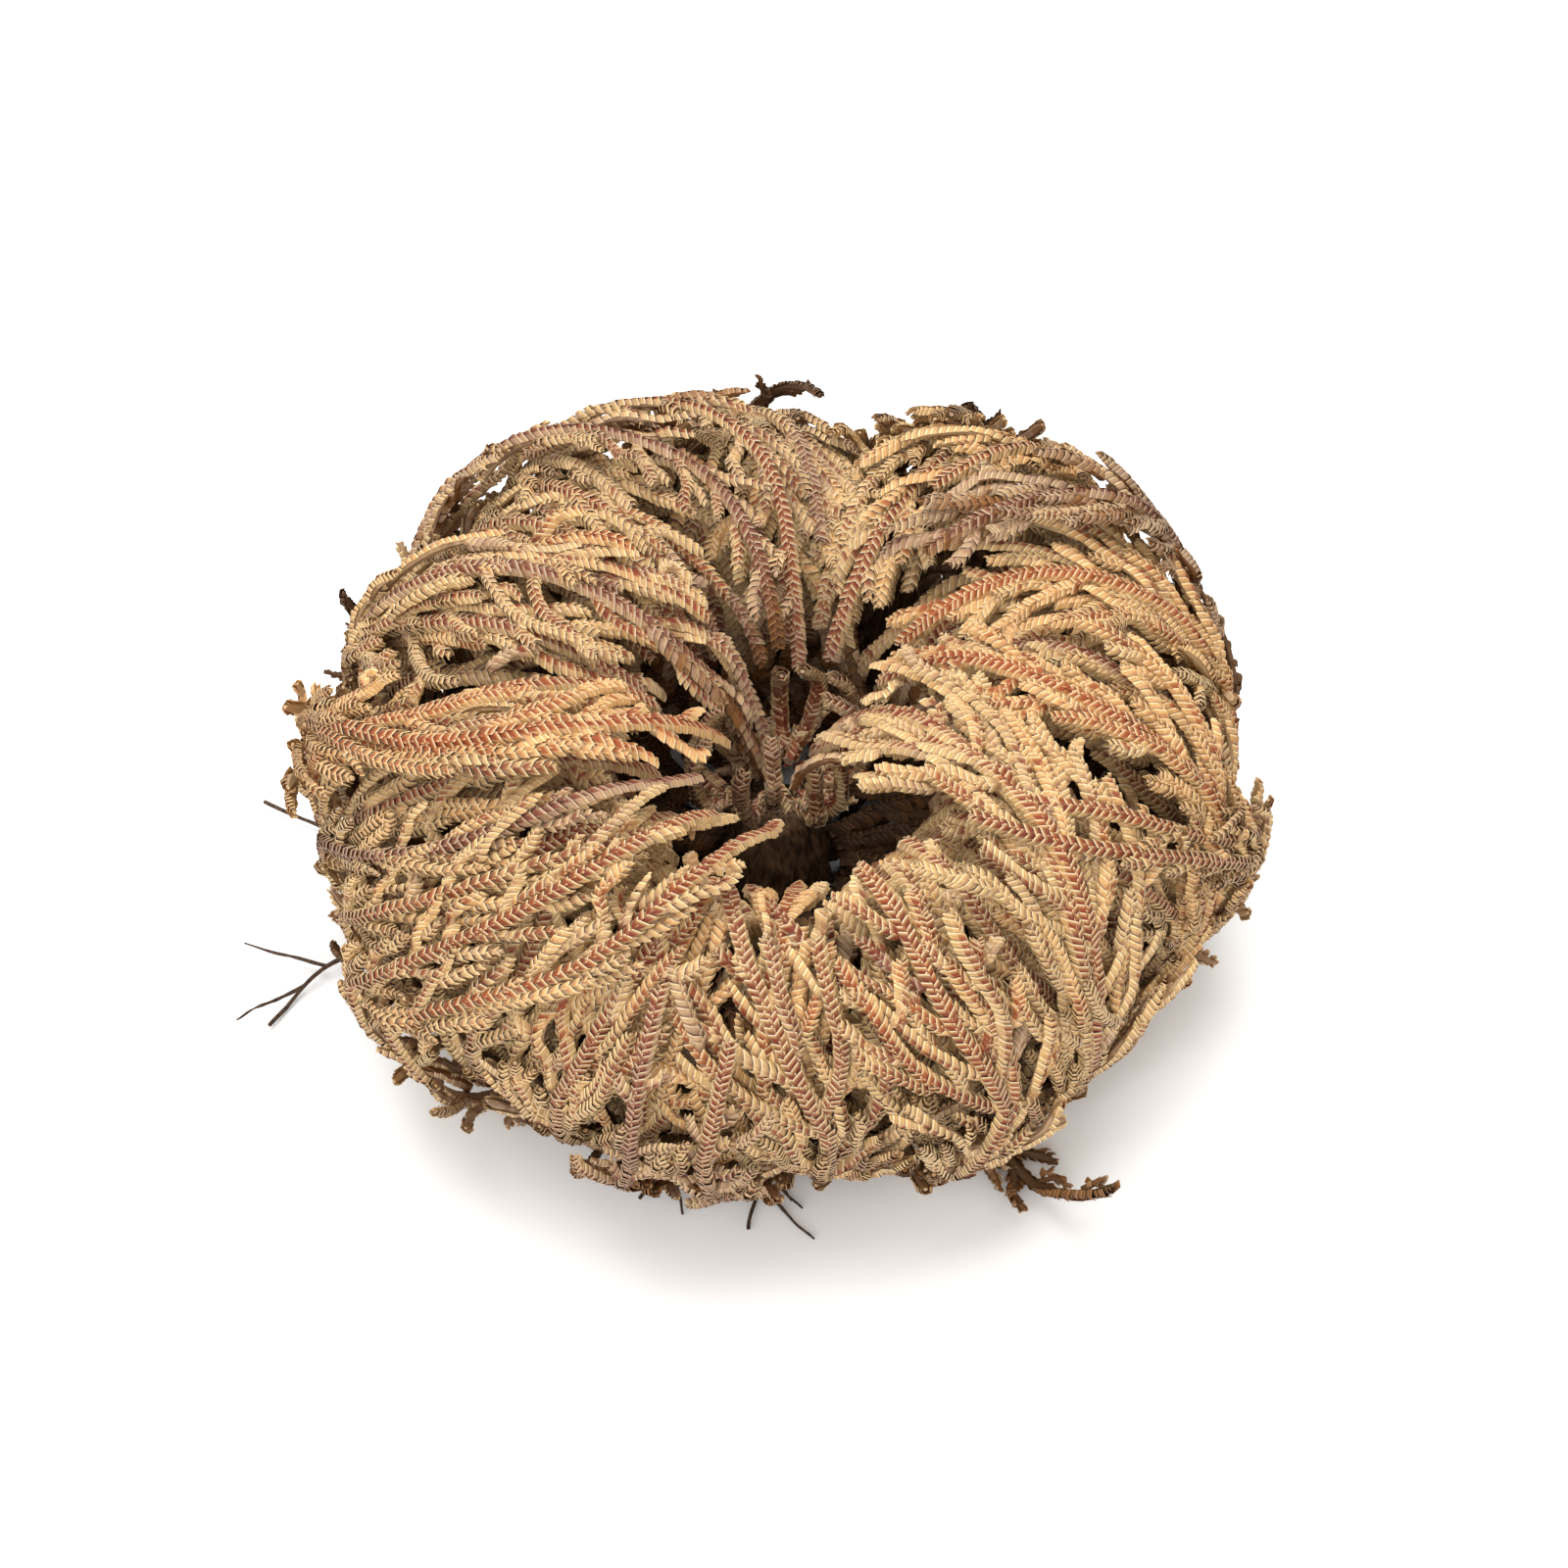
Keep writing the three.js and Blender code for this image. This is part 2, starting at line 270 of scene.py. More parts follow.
def fibrous_material(name, dark, light, grain, streak):
    """Dry plant tissue: dull bark or root skin with lengthwise fibres.

    grain is the fibres' spacing in millimetres, and streak is how many times longer they are.
    """
    material, tree, shader = new_material(name)
    place = node(tree, "ShaderNodeTexCoord").outputs["Object"]
    stretch = node(tree, "ShaderNodeMapping", None, place)
    scale = 1 / (grain * MM)
    stretch.inputs["Scale"].default_value = (scale, scale, scale / streak)
    noise = node(tree, "ShaderNodeTexNoise", None, stretch.outputs[0], None, 1.0, 5.0).outputs[0]
    ramp = node(tree, "ShaderNodeValToRGB", None, noise)
    for stop, place_on, colour in zip(ramp.color_ramp.elements, (0.32, 0.7), (dark, light)):
        stop.position = place_on
        stop.color = linear(colour)
    tree.links.new(ramp.outputs[0], shader.inputs["Base Color"])
    relief = node(tree, "ShaderNodeBump")
    relief.inputs["Strength"].default_value = 0.6
    relief.inputs["Distance"].default_value = 0.15 * MM
    tree.links.new(noise, relief.inputs["Height"])
    tree.links.new(relief.outputs[0], shader.inputs["Normal"])
    shader.inputs["Roughness"].default_value = 0.85
    shader.inputs["Specular IOR Level"].default_value = 0.25
    return material


# ---- Courses ----
CLOSE_TO_AXIS = 5.0  # closer than this, a place across turns no further round the axis
SHELF_STEPS = 29
ROLL_STEPS = 200


class Course:
    """A frond's course, kept as a table for each step along it.

    The table has the distance from the plant's axis, the height, the turn of the outward
    direction above level, the azimuth in degrees and the angle round the roll in degrees.
    length is how far along it the frond's tip is.
    """

    def __init__(self, from_axis, height, turn, azimuth, angle):
        step = np.hypot(np.diff(from_axis), np.diff(height))
        self.along = np.concatenate([[0.0], np.cumsum(step)])
        self.from_axis, self.height, self.turn = from_axis, height, turn
        self.azimuth = np.broadcast_to(azimuth, from_axis.shape)
        self.angle = np.broadcast_to(angle, from_axis.shape)
        self.length = self.along[-1]

    def at(self, along, across, out):
        """Places, and the outward direction there, for places in the frond's own terms."""
        from_axis, height, turn, azimuth = (
            np.interp(along, self.along, row)
            for row in (self.from_axis, self.height, self.turn, self.azimuth)
        )
        azimuth = np.radians(azimuth) + across / np.maximum(from_axis, CLOSE_TO_AXIS)
        away = np.stack([np.sin(azimuth), -np.cos(azimuth), np.zeros_like(azimuth)], 1)
        up = np.array([[0.0, 0.0, 1.0]])
        outward = away * np.cos(turn)[:, None] + up * np.sin(turn)[:, None]
        place = away * from_axis[:, None] + up * height[:, None] + outward * out[:, None]
        return place, outward


def rolled_course(level, azimuth, drift, tip, curl=0.0, splay=0.0, past=25.0):
    """From the crown out along the floor, then round the roll: its radius shrinks with curl.

    The course goes on for some degrees past the frond's tip, for the branches that reach over.
    """
    shelf = np.linspace(0, 1, SHELF_STEPS + 1)[:-1]
    angle = np.linspace(-90, tip + past, ROLL_STEPS)
    radius = ROLL_RADIUS - level * LEVEL_STEP - curl * (angle + 90) / 360
    turn = np.radians(angle)
    from_axis = np.concatenate(
        [FOOT_RADIUS + shelf * (SHELF + splay), RING_RADIUS + splay + radius * np.cos(turn)]
    )
    height = np.concatenate(
        [ROLL_HEIGHT - radius[0] + FOOT_RISE * (1 - shelf) ** 2, ROLL_HEIGHT + radius * np.sin(turn)]
    )
    lean = azimuth + drift * np.maximum(0, angle) / max(tip, 1)
    # On the shelf these are as they are where the roll starts.
    turn, lean, round_roll = (
        np.concatenate([np.full(SHELF_STEPS, row[0]), row]) for row in (turn, lean, angle)
    )
    course = Course(from_axis, height, turn, lean, round_roll)
    course.length = course.along[SHELF_STEPS + np.searchsorted(angle, tip)]
    return course


# A bud's line: its distance from the plant's axis, and its height.
BUD_LINE = np.array([(2.6, 18.1), (7.4, 20.1), (9.4, 25.5), (7.0, 30.1), (4.5, 32.5)])
BUD_STEPS = 60
BUD_ROUNDING = 13  # how many steps are averaged to round the line's corners
BUD_TIP = 0.85  # where its tip is, as a share of the line
BUD_ANGLE = 90.0  # it grows and ages as a frond does on the roll's top, with no painted hollow shade


def bud_course(azimuth):
    """From the crown's top out and up, then nodding in over the hollow."""
    share = np.linspace(0, 1, BUD_STEPS)
    knots = np.linspace(0, 1, len(BUD_LINE))
    average = np.ones(BUD_ROUNDING) / BUD_ROUNDING

    def rounded(row):
        padded = np.pad(np.interp(share, knots, row), BUD_ROUNDING // 2, mode="edge")
        return np.convolve(padded, average, "valid")

    from_axis, height = rounded(BUD_LINE[:, 0]), rounded(BUD_LINE[:, 1])
    turn = np.arctan2(-np.gradient(from_axis), np.gradient(height))
    course = Course(from_axis, height, turn, azimuth, BUD_ANGLE)
    course.length *= BUD_TIP
    return course


def wave(along, wavelength, height):
    """A gentle random wave along a line: random heights a wavelength apart, joined smoothly."""
    reach = np.ptp(along)
    knots = np.linspace(0, 1, max(4, int(reach / wavelength) + 2))
    values = random.normal(0, height, len(knots))
    share = (along - along.min()) / max(reach, 1e-6) * (len(knots) - 1)
    i = np.minimum(share.astype(int), len(knots) - 2)
    ease = (1 - np.cos(np.pi * (share - i))) / 2
    return values[i] * (1 - ease) + values[i + 1] * ease


# ---- One cord, in millimetres ----
LEAF_PITCH = 0.66  # from one scale leaf to the next in its row
CORD_HALF_WIDTH = 0.9
CORD_HALF_DEPTH = 0.68
LEAF_AROUND = np.radians([-8.0, 46.0, 112.0])  # a leaf's three columns, round the cord
LEAF_ALONG = np.array([-0.2, 0.65, 1.2])  # a leaf's three rows, in pitches
LEAF_OUT = np.array([0.8, 1.04, 1.0])  # how far those rows stand out from the stem
LEAF_SLANT = np.array([0.0, 0.65, 1.1])  # how far forward the columns lie, in pitches
LEAF_HUG = np.array([1.0, 1.0, 0.92])  # how closely the columns hug the stem
LEAF_POINTS = 9
LEAF_SHEET_ACROSS = np.array([0.0, 0.5, 1.0])  # the columns' places in a cell of the sheet
LEAF_SHEET_ALONG = np.array([0.0, 0.55, 1.0])  # and the rows' places in it
STEM_SIDES = 5
STEM_SHARE = 0.64  # the stem's thickness, as a share of the cord's
STEM_AGE = 0.2  # how much older the stem looks than its leaves
TIP_TAPER = 2.4  # how many pitches from its tip a cord starts to taper
TIP_SIZE = 0.4  # its size at the very tip


def leaf_faces():
    """A leaf's faces: its outer skin, its underside from margin to root, and its two sides."""

    def at(column, row):
        return column * 3 + row

    faces = []
    for column in (0, 1):
        beside = column + 1
        for row in (0, 1):
            a, b = at(column, row), at(column, row + 1)
            c, d = at(beside, row + 1), at(beside, row)
            faces += [(a, b, c), (a, c, d)]
        faces.append((at(column, 2), at(column, 0), at(beside, 0)))
        faces.append((at(column, 2), at(beside, 0), at(beside, 2)))
    faces += [(at(0, 0), at(0, 2), at(0, 1)), (at(2, 0), at(2, 1), at(2, 2))]
    return np.array(faces)


LEAF_FACES = leaf_faces()


def cell_place(tone, redness, across, along):
    """Where a leaf's point lies on the pattern sheet: its cell, and its place inside the cell."""
    column = np.clip(np.round(tone * (SHEET_TONES - 1)), 0, SHEET_TONES - 1)
    row = np.clip(np.round(redness * (SHEET_REDS - 1)), 0, SHEET_REDS - 1)
    room = 1 - 2 * CELL_EDGE
    return np.stack(
        [
            (column + CELL_EDGE + across * room) / SHEET_TONES,
            (row + CELL_EDGE + along * room) / SHEET_REDS,
        ],
        -1,
    )


def frames_along(places, outward, twist):
    """Directions along, across and out at each point of a path, turned by a twist about it."""
    along = np.gradient(places, axis=0)
    along /= np.linalg.norm(along, axis=1, keepdims=True) + 1e-9
    out = outward - along * np.sum(outward * along, 1, keepdims=True)
    out /= np.linalg.norm(out, axis=1, keepdims=True) + 1e-9
    side = np.cross(along, out)
    c, s = np.cos(twist)[:, None], np.sin(twist)[:, None]
    return along, side * c + out * s, out * c - side * s


STEM_ON_SHEET = (0.6, 0.35)  # the part of a cell that gives a stem its colour, across and along


class Piece:
    """Gathers closed shapes, in millimetres, and makes one mesh of them."""

    def __init__(self):
        self.points, self.faces, self.sheet = [], [], []
        self.count = 0

    def add(self, points, faces, sheet):
        """Adds a shape. sheet is where its points lie on the leaves' pattern sheet."""
        self.points.append(points)
        self.faces.append(faces + self.count)
        self.sheet.append(sheet)
        self.count += len(points)

    def tube(self, places, side, out, half_width, half_depth, sides, tone=0.0):
        """A closed tube: an oval ring of points at each place, and a fan of faces at each end."""
        n = len(places)
        turn = np.arange(sides) * 2 * np.pi / sides
        ring = (
            places[:, None, :]
            + side[:, None, :] * (np.sin(turn)[None, :] * half_width[:, None])[..., None]
            + out[:, None, :] * (np.cos(turn)[None, :] * half_depth[:, None])[..., None]
        )
        i, j = np.meshgrid(np.arange(n - 1), np.arange(sides), indexing="ij")
        a = (i * sides + j).ravel()
        b = (i * sides + (j + 1) % sides).ravel()
        faces = [np.stack([a, b, b + sides], -1), np.stack([a, b + sides, a + sides], -1)]
        f = np.arange(1, sides - 1)
        end = (n - 1) * sides
        faces += [np.stack([f * 0, f + 1, f], -1), np.stack([end + f * 0, end + f, end + f + 1], -1)]
        tone = np.repeat(np.broadcast_to(tone, n), sides)
        across, along = (np.full(len(tone), share) for share in STEM_ON_SHEET)
        sheet = cell_place(tone, np.zeros(len(tone)), across, along)
        self.add(ring.reshape(-1, 3), np.concatenate(faces), sheet)

    def cord(self, places, outward, tone, width, redness, twist, ragged=0.0, stem=True):
        """A cord along a path whose points are one leaf pitch apart.

        Its stem is a five-sided tube. On each side of the stem, at every pitch, sits a leaf: a
        curved scale of three by three points that starts inside the stem and ends in a margin
        raised over the next leaf. The two rows are half a pitch apart, so their seam zigzags.
        """
        n = len(places)
        if n < 4:
            return
        along, side, out = frames_along(places, outward, twist)
        left = (n - 1 - np.arange(n)) / TIP_TAPER
        size = width * np.clip(np.sqrt(np.clip(left, 0.0, 1.0)), TIP_SIZE, 1.0)
        if stem:
            keep = np.unique(np.append(np.arange(0, n, 2), n - 1))
            thick = size[keep] * STEM_SHARE
            self.tube(
                places[keep], side[keep], out[keep], thick * CORD_HALF_WIDTH,
                thick * CORD_HALF_DEPTH, STEM_SIDES, np.clip(tone[keep] + STEM_AGE, 0, 1),
            )
        m = n - 1
        for hand in (-1.0, 1.0):
            jitter = random.normal(0, 1, (5, m))
            grow = (size[:m] * (1 + (0.06 + ragged * 0.1) * jitter[0]))[:, None, None]
            around = LEAF_AROUND[None, :, None] + 0.07 * jitter[1][:, None, None]
            raised = (0.035 + ragged * 0.1) * jitter[2][:, None, None] * (LEAF_OUT > 0.9)
            reach = grow * (LEAF_OUT[None, None, :] + raised) * LEAF_HUG[None, :, None]
            forward = LEAF_ALONG[None, None, :] + LEAF_SLANT[None, :, None]
            forward = forward + (0.07 + ragged * 0.1) * jitter[3][:, None, None]
            forward = LEAF_PITCH * (forward * np.clip(grow, 0.6, 1.1) + 0.25 * hand)
            sideways = hand * np.sin(around) * CORD_HALF_WIDTH * reach
            outwards = np.cos(around) * CORD_HALF_DEPTH * reach
            points = (
                places[:m, None, None, :]
                + side[:m, None, None, :] * sideways[..., None]
                + out[:m, None, None, :] * outwards[..., None]
                + along[:m, None, None, :] * forward[..., None]
            )
            faces = LEAF_FACES if hand > 0 else LEAF_FACES[:, ::-1]
            faces = faces[None] + LEAF_POINTS * np.arange(m)[:, None, None]
            sheet = cell_place(*np.broadcast_arrays(
                (tone[:m] + 0.045 * jitter[4])[:, None, None],
                redness[:m, None, None] + 0.12 * jitter[0][:, None, None],
                LEAF_SHEET_ACROSS[None, :, None],
                LEAF_SHEET_ALONG[None, None, :],
            ))
            self.add(points.reshape(-1, 3), faces.reshape(-1, 3), sheet.reshape(-1, 2))

    def finish(self, name, material, node_name, slot, smooth_angle=60, leafy=True):
        """Makes the mesh, in metres, and puts the piece in the place of its CAD node.

        A leafy piece brings the pattern sheet as its UV map twice: once for its material and once under the
        name OFBake, for baking.
        """
        points = np.concatenate(self.points) * MM + AXIS
        faces = np.concatenate(self.faces).astype(np.int32)
        sheet = np.concatenate(self.sheet).astype(np.float32)
        mesh = bpy.data.meshes.new(name)
        mesh.vertices.add(len(points))
        mesh.vertices.foreach_set("co", points.astype(np.float32).ravel())
        mesh.loops.add(faces.size)
        mesh.loops.foreach_set("vertex_index", faces.ravel())
        mesh.polygons.add(len(faces))
        mesh.polygons.foreach_set("loop_start", np.arange(0, faces.size, 3, dtype=np.int32))
        mesh.update(calc_edges=True)
        mesh.shade_smooth()
        mesh.set_sharp_from_angle(angle=math.radians(smooth_angle))
        for map_name in ("leaf_sheet", "OFBake") if leafy else ():
            layer = mesh.uv_layers.new(name=map_name)
            layer.uv.foreach_set("vector", sheet[faces.ravel()].ravel())
        mesh.materials.append(material)
        piece = bpy.data.objects.new(name, mesh)
        bpy.context.scene.collection.objects.link(piece)
        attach(piece, "root")
        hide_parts(node_name)


# ---- A frond ----
class Habit:
    """How a frond grows: sizes in millimetres, shares from 0 to 1."""

    def __init__(self, **changes):
        self.wide = 9.0  # half width at the top of the roll
        self.tone = "straw"
        self.red = 0.4
        self.lift = 0.0  # how far it stands out from its level
        self.start = 10.0  # where the side branches begin, from the crown
        self.width = 1.0  # the cords' width, as a share of the usual
        self.spacing = 2.5  # from one side branch to the next
        self.branch = (8.0, 21.0)
        self.branchlet = (3.5, 8.5)
        self.twigs = (3.6, 6.4)  # from one branchlet to the next
        self.loose = 0.0  # how much the branches stand out and curl
        self.weather = 0.25  # how much older its outer and lower parts look
        self.hollow_shade = 0.72  # and how much darker its parts down in the hollow are: painted shade
        self.base_age = 0.6  # and how much older the flat run out from the crown looks
        self.short = 0.0  # how much of its course it leaves bare
        self.ragged = 0.0  # how uneven its leaves are
        self.sink = 1.3  # how deep a side branch may sink beneath the main stem
        self.mains = (0.0,)  # where its main stems run across it, at the roll's outer wall
        self.leafy_to = 400.0  # the roll angle where its side branches stop
        self.nod = 0.0  # how far its tip stands off the roll
        self.settle = (0, 30)  # the angle its side branches settle to
        self.flip = 0.0  # up to here it shows its leafy side to the hollow
        self.strays = 0  # how many short cords cross the others
        self.both_sides = False  # whether its cords have leaves on their backs too
        self.splay = 0.0  # how much further from the plant's axis its roll is
        self.__dict__.update(changes)


def bend(start, first, settle, give, run, wobble=0.1):
    """Headings along a branch: from its first angle it settles, over a distance, to another."""
    t = np.arange(int(run / LEAF_PITCH)) * LEAF_PITCH
    return t, start + settle + (first - settle) * np.exp(-t / give) + wave(t, 7, wobble)


# Furrows and swells round the roll: the azimuth, the half width in degrees and the height.
SWELLS = [
    (12, 8, -0.8), (45, 15, -2.2), (66, 8, -1.2), (100, 8, -1.0), (140, 13, 1.6), (166, 11, -3.4),
    (205, 20, -1.4), (238, 9, -2.4), (265, 14, -1.4), (290, 9, -1.2), (330, 8, -1.0),
]
FRONT_DIP = 6.5  # how far the hollow's front rim dips
FULL_WIDTH_AT = RING_RADIUS + ROLL_RADIUS - 5  # the distance from the axis where a fan is open
ODD_CORDS = 0.1  # the share of cords that look older than their frond
ODD_AGE = 0.25  # and how much older
STRAYS_FROM = 14  # how far past the first side branch the strays start
STRAYS_TO = 8  # and how far before the tip the last one starts


def swell(azimuth, angle):
    """The height of the furrows and swells: bell curves round the plant, none at the underside.

    The hollow's front rim dips by a bell curve of its own, from the roll's top inwards.
    """

    def bell(middle, width):
        off = (azimuth - middle + 180) % 360 - 180
        return np.exp(-((off / width) ** 2))

    height = sum(rise * bell(middle, width) for middle, width, rise in SWELLS)
    height = height * np.clip((angle + 50) / 60, 0, 1)
    return height - FRONT_DIP * bell(0, 26) * np.clip((angle - 66) / 40, 0, 1)


def grow_frond(piece, course, habit):
    """Lays one branching spray on its course.

    Each main stem runs the whole course. Side branches leave it on alternate sides at an acute
    angle, bend forward until they run beside it, and carry short branchlets of their own.
    """
    h = habit
    length = course.length - h.short

    def lay(along, across, out, width, redness, twist, freshness=0.12):
        """Lays one cord, in the frond's own terms, and gives it its age, its painted shade in the hollow,
        redness and twist.
        """
        n = np.searchsorted(along, course.along[-1])
        if n < 5:
            return
        along, across, out = along[:n], across[:n], out[:n]
        from_axis = np.interp(along, course.along, course.from_axis)
        # Near the plant's axis the spray has less room across, and its cords draw together.
        room = 1.4 * h.wide * np.clip((from_axis + 14) / 44, 0.3, 1.2)
        across = room * np.tanh(across / room)
        angle = np.interp(along, course.along, course.angle)
        azimuth = np.interp(along, course.along, course.azimuth) + np.degrees(across / from_axis)
        out = out + h.nod * np.clip(along / length, 0, 1.1) ** 6
        places, outward = course.at(along, across, out + h.lift + swell(azimuth, angle))
        # It looks older below 15 degrees on the roll and within 22 mm of its start, and fresher towards its
        # tip.
        age_and_shade = h.weather * np.clip((15 - angle) / 75, 0, 1)
        age_and_shade = age_and_shade + h.base_age * np.clip((22 - along) / 12, 0, 1)
        # Past 125 degrees, down in the hollow, it is darker: painted shade.
        age_and_shade = age_and_shade + h.hollow_shade * np.clip((angle - 125) / 75, 0, 1)
        tone = TONE[h.tone] + age_and_shade + wave(along, 9, 0.04) + random.normal(0, 0.07)
        tone = tone + 0.04 - freshness * np.linspace(0, 1, len(along))
        if random.uniform() < ODD_CORDS:
            tone = tone + ODD_AGE
        redness = redness * random.uniform(0.5, 1.5) + wave(along, 12, 0.15)
        twist = twist + wave(along, 9, 0.22 + h.loose * 0.5)
        twist = twist + np.pi * np.clip((h.flip - along) / 8, 0, 1)
        places[:, 2] = np.maximum(places[:, 2], LOWEST_CORD)
        tone = np.clip(tone, 0, 1)
        piece.cord(places, outward, tone, width * h.width, redness, twist, h.ragged)
        if h.both_sides:
            back = twist + np.pi
            piece.cord(places, outward, tone, width * h.width, redness, back, h.ragged, stem=False)

    for offset in h.mains:
        grow_main(lay, course, h, length, offset)
    # Strays: short cords that cross the others, and start and end a little sunk in.
    for _ in range(h.strays):
        run = random.uniform(6, 14)
        t, heading = bend(0.0, math.radians(random.uniform(-75, 75)), 0.0, 12, run, 0.25)
        lay(
            random.uniform(h.start + STRAYS_FROM, length - STRAYS_TO) + np.cumsum(np.cos(heading)) * LEAF_PITCH,
            random.uniform(-0.7, 0.7) * h.wide + np.cumsum(np.sin(heading)) * LEAF_PITCH,
            random.uniform(0.7, 1.4) - 1.6 * np.exp(-t / 3) + random.uniform(-0.5, 0.8) * (t / run),
            random.uniform(0.8, 1.0),
            h.red * 0.6,
            random.normal(0, 0.4),
        )


def grow_main(lay, course, h, length, offset):
    """One main stem with its side branches and their branchlets, each laid by the given lay.

    offset is how far beside the frond's middle it runs where the fan is open.
    """
    main = np.arange(0.5, length + random.uniform(-2, 3), LEAF_PITCH)
    fan = np.interp(main, course.along, course.from_axis) / FULL_WIDTH_AT
    main_across = (wave(main, 22, h.wide * 0.22) + offset) * np.minimum(fan, 1)
    main_out = 0.5 + wave(main, 12, 0.35)
    lay(main, main_across, main_out, 1.1, h.red + 0.5, 0.0, 0.0)

    hand = random.choice([-1.0, 1.0])
    at = h.start
    last = min(length - 4, np.interp(h.leafy_to, course.angle, course.along))
    while at < last:
        # A side branch.
        near_tip = np.clip((length - at) / 25, 0.35, 1.0)
        run = min(random.uniform(*h.branch) * near_tip, length - at + 3)
        first, settle = np.radians([random.uniform(30, 55), random.uniform(*h.settle)])
        t, heading = bend(0.0, first, settle, random.uniform(4, 8), run, 0.2)
        along = at + np.cumsum(np.cos(heading)) * LEAF_PITCH
        across = np.interp(at, main, main_across) + hand * np.cumsum(np.sin(heading)) * LEAF_PITCH
        fly = random.uniform(0, 1) ** 2 * (0.35 + h.loose) * 7
        out = np.interp(at, main, main_out) - 0.35 + wave(t, 8, 0.3)
        out = out + random.uniform(-h.sink, 1.3) * (1 - np.exp(-t / 5)) + fly * (t / run) ** 3
        width = random.uniform(0.84, 1.04)
        lay(along, across, out, width, h.red * 0.65, random.normal(-hand * 0.22, 0.3))
        # Its branchlets.
        place, turn_hand = random.uniform(2.5, 5), -hand
        while place < run - 3:
            i = int(place / LEAF_PITCH)
            q, bearing = bend(
                0.0, math.radians(random.uniform(28, 58)), math.radians(random.uniform(0, 32)), 4,
                random.uniform(*h.branchlet), 0.18,
            )
            bearing = hand * heading[i] + turn_hand * bearing
            rise = random.uniform(-0.8, 1.1) * (1 - np.exp(-q / 3))
            lay(
                along[i] + np.cumsum(np.cos(bearing)) * LEAF_PITCH,
                across[i] + np.cumsum(np.sin(bearing)) * LEAF_PITCH,
                out[i] - 0.2 + rise + fly * (q / run) ** 2,
                random.uniform(0.8, 1.0),
                h.red * 0.4,
                random.normal(-turn_hand * 0.3, 0.45),
            )
            place += random.uniform(*h.twigs)
            turn_hand = -turn_hand
        at += h.spacing * random.uniform(0.8, 1.2)
        hand = -hand


# A frond with short branchlets that stay spread, like a feather's barbs.
FEATHER = dict(
    branch=(5, 11), settle=(16, 38), spacing=2.1, twigs=(4, 7), branchlet=(2.5, 5), width=0.88,
    mains=(-4.5, 4.5),
)

# Each frond's azimuth, its drift round the plant by its tip, the roll angle of its tip, and its
# habit. They are in the order of the frame's nodes.
OUTER = [
    (27, -17, 84, dict(red=1.0, lift=0.4)),
    (80, -32, 78, dict(FEATHER, red=0.8, lift=0.8)),
    (115, 13, 120, dict(wide=3.5, tone="plum", red=0.4, lift=1.0, loose=0.4)),
    (156, -6, 64, dict(red=0.5)),
    (196, 4, 46, dict(tone="plum", red=0.5)),
    (236, -68, 158, dict(FEATHER, tone="sandy", red=0.6, lift=1.0, weather=0.5, nod=2.5)),
    (266, 56, 126, dict(wide=8, tone="golden", red=0.7, lift=0.9, nod=3.0, short=-4)),
    (308, 40, 97, dict(FEATHER, red=0.5, lift=0.8, nod=2.0, short=-4)),
    (348, 2, 40, dict(FEATHER, wide=8, tone="sandy", red=0.7, lift=0.4)),
]
SECOND = [
    (6, -14, 86, dict(red=0.9, lift=0.3)),
    (42, 9, 142, dict(
        wide=15, red=0.5, lift=1.4, nod=6.0, mains=(-3.0, 4.0), spacing=3.2, short=-5)),
    (72, 12, 130, dict(tone="golden", red=0.7, lift=0.6, nod=3.0, short=-4)),
    (97, 20, 134, dict(tone="golden", red=0.6, lift=0.4)),
    (130, 14, 102, dict(wide=10, tone="golden", red=0.4, lift=0.6)),
    (163, -4, 62, dict(red=0.5)),
    (193, -30, 124, dict(tone="sandy", red=0.7)),
    (222, -6, 100, dict(red=0.5)),
    (251, -6, 165, dict(red=1.0, lift=0.4, nod=9.0, short=-6)),
    (288, 46, 107, dict(FEATHER, red=0.5, lift=0.6, nod=3.0, short=-4)),
    (336, 9, 78, dict(red=1.0, lift=0.4)),
]
THIRD = [
    (20, -8, 88, {}),
    (56, -20, 104, {}),
    (90, 10, 116, {}),
    (122, 14, 96, {}),
    (156, 0, 150, {}),
    (190, -8, 150, {}),
    (225, -4, 160, dict(red=0.8, nod=3.0)),
    (260, 16, 150, dict(red=0.9, nod=3.0)),
    (294, 24, 130, {}),
    (325, 14, 96, {}),
    (352, 2, 100, dict(tone="golden", wide=8)),
]
OLD = [
    (12, 0, -60, dict(wide=4)),
    (37, 0, -46, dict(wide=6, splay=5, short=-5, loose=1.0, tone="russet", lift=1.2, width=0.85)),
    (104, 6, 4, dict(wide=5, short=0)),
    (152, -2, 66, dict(wide=6)),
    (186, -14, 72, dict(wide=5)),
    (222, 8, 44, dict(wide=5)),
    (243, 4, 20, dict(wide=5, short=0, lift=0.4)),
    (291, 4, -12, dict(wide=5)),
    (326, 0, -50, dict(wide=5)),
]
# Each level's name, its number inwards, its slot, its fronds and their usual habit.
LEVELS = [
    ("old", -1, "old_frond", OLD, dict(
        tone="dead", red=0.2, width=0.72, start=16, branch=(7, 12), branchlet=(3, 5),
        loose=0.3, ragged=0.5, weather=0.0, sink=0.5, lift=-0.8, spacing=3, short=6)),
    ("outer", 0, "dusty_frond", OUTER, dict(strays=7)),
    ("second", 1, "straw_frond", SECOND, dict(strays=6)),
    ("third", 2, "straw_frond", THIRD, dict(
        spacing=3.5, lift=1.0, wide=11, branch=(10, 20), twigs=(6, 10), start=11,
        mains=(-6, 6), flip=24, strays=4)),
]
CORE_COUNT = 7
CORE_LEVEL = 3
BUD_COUNT = 6
FOOT_FROM, FOOT_TO = 6, 24  # where along an old frond's foot its short cords start


